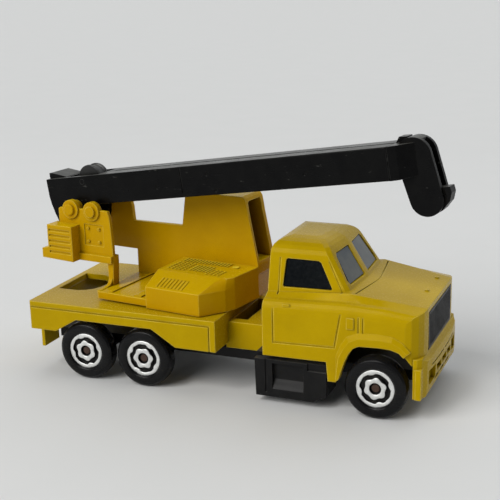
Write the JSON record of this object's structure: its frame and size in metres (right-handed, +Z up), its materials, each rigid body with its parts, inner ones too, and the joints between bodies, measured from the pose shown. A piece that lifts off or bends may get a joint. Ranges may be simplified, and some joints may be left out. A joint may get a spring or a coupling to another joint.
{
  "type": "toy crane truck",
  "caption": "Die-cast toy crane truck: bonneted cab, flat bed, slewing turret with operator cab, luffing telescopic boom and winch, on black solid wheels.",
  "frame": {"origin": "on the ground, on the truck's centre plane, at the centre of the overall length with the boom in; the turret's slewing axis is at x = -0.019515", "axes": "+X to the front of the truck, +Y to the truck's left, +Z up; wheels stand on z = 0"},
  "size_m": [0.083, 0.0288, 0.0488],
  "materials": {
    "yellow_paint": "glossy enamel on die-cast metal, worn at the edges",
    "black_plastic": "semi-gloss moulded plastic",
    "boom_plastic": "gloss moulded plastic, scuffed on the long edges",
    "wheel_plastic": "hard black plastic, slightly glossy tread",
    "glazing": "dark smoked plastic",
    "steel": "dull steel wire, lightly rusted at the ends",
    "rivet_metal": "bare cast zinc rivet"
  },
  "bodies": {
    "truck": {"truck_body": "yellow_paint", "chassis_base": "black_plastic", "grille_insert": "black_plastic", "cab_glazing": "glazing", "base_rivet_front": "rivet_metal", "base_rivet_rear": "rivet_metal"},
    "turret": {"turret_casting": "yellow_paint", "turret_pivot_rivet": "rivet_metal", "turret_washer": "steel", "boom_pivot_pin": "rivet_metal"},
    "boom": {"boom_outer": "boom_plastic", "winch_pin": "steel"},
    "boom_extension": {"boom_inner": "boom_plastic"},
    "winch": {"winch_drum": "steel"},
    "front_wheelset": {"front_wheel_right": "wheel_plastic", "front_wheel_left": "wheel_plastic", "front_axle": "steel"},
    "middle_wheelset": {"middle_wheel_right": "wheel_plastic", "middle_wheel_left": "wheel_plastic", "middle_axle": "steel"},
    "rear_wheelset": {"rear_wheel_right": "wheel_plastic", "rear_wheel_left": "wheel_plastic", "rear_axle": "steel"}
  },
  "joints": [
    {"name": "front_wheel_spin", "type": "hinge", "parent": "truck", "child": "front_wheelset", "pos_m": [0.02977, 0, 0.0056], "axis": [0, 1, 0], "continuous": true},
    {"name": "middle_wheel_spin", "type": "hinge", "parent": "truck", "child": "middle_wheelset", "pos_m": [-0.01511, 0, 0.0056], "axis": [0, 1, 0], "continuous": true},
    {"name": "rear_wheel_spin", "type": "hinge", "parent": "truck", "child": "rear_wheelset", "pos_m": [-0.02747, 0, 0.0056], "axis": [0, 1, 0], "continuous": true},
    {"name": "turret_slew", "type": "hinge", "parent": "truck", "child": "turret", "pos_m": [-0.01952, 0, 0.0151], "axis": [0, 0, 1], "continuous": true},
    {"name": "boom_luff", "type": "hinge", "parent": "turret", "child": "boom", "pos_m": [-0.03362, 0.0013, 0.03095], "axis": [-0.1305, -0.9914, 0], "range_deg": [-8, 52]},
    {"name": "boom_extend", "type": "slide", "parent": "boom", "child": "boom_extension", "axis": [0.9792, -0.1289, 0.1564], "range_m": [0, 0.022]},
    {"name": "winch_spin", "type": "hinge", "parent": "boom", "child": "winch", "pos_m": [-0.03211, 0.0011, 0.03612], "axis": [-0.1305, -0.9914, 0], "continuous": true}
  ]
}
